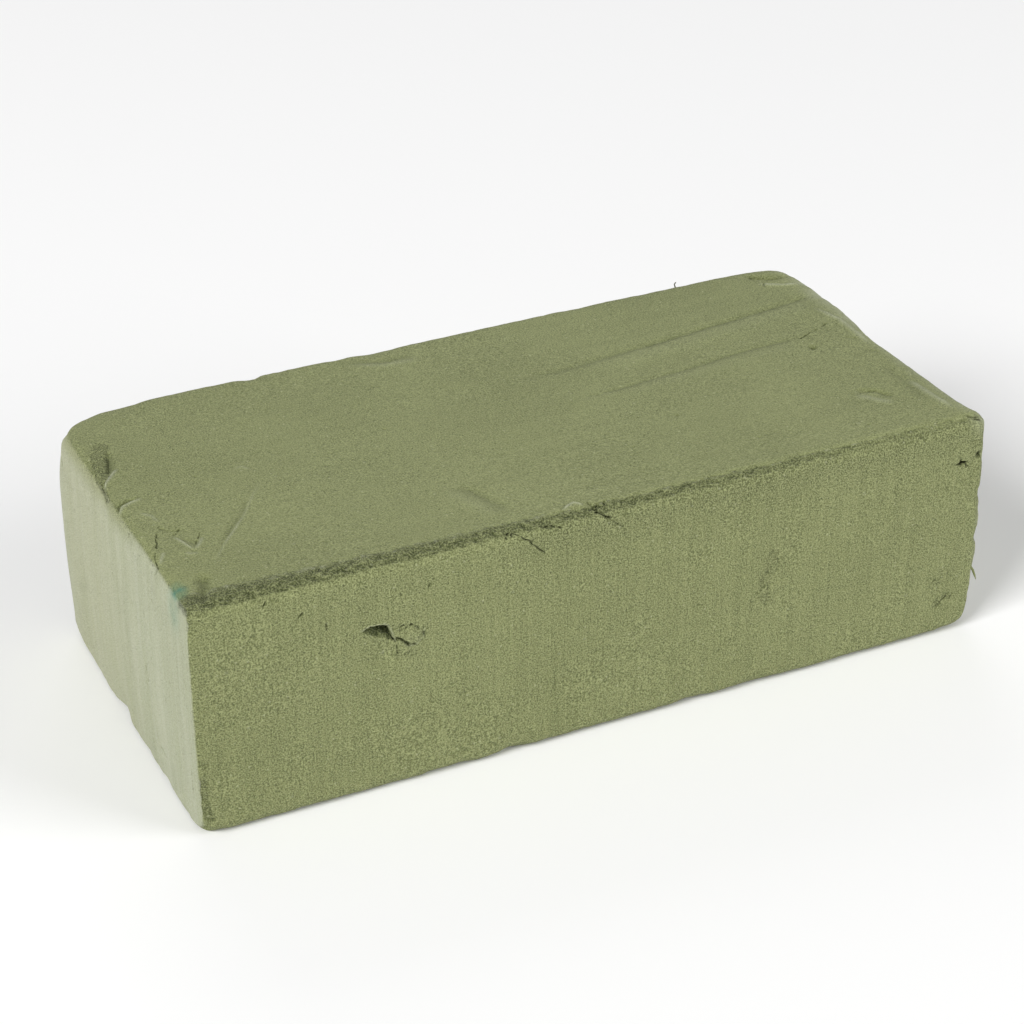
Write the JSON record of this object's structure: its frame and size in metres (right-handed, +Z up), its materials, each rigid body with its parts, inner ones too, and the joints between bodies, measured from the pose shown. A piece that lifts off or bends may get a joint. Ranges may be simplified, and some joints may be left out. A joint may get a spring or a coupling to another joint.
{
  "type": "floral foam brick",
  "caption": "Rectangular block of dry green floral foam that stands on its base and takes cut stems pushed into any face.",
  "frame": {"origin": "centre of the base, on the surface that the brick stands on", "axes": "+X along the length, -Y out of the front face with the torn notch, +Z up"},
  "size_m": [0.23, 0.112, 0.068],
  "materials": {
    "foam": "dry, dusty, fine-celled foam with no gloss; sawn faces grainy, end faces paler"
  },
  "bodies": {
    "root": {"foam_brick": "foam"}
  },
  "joints": []
}
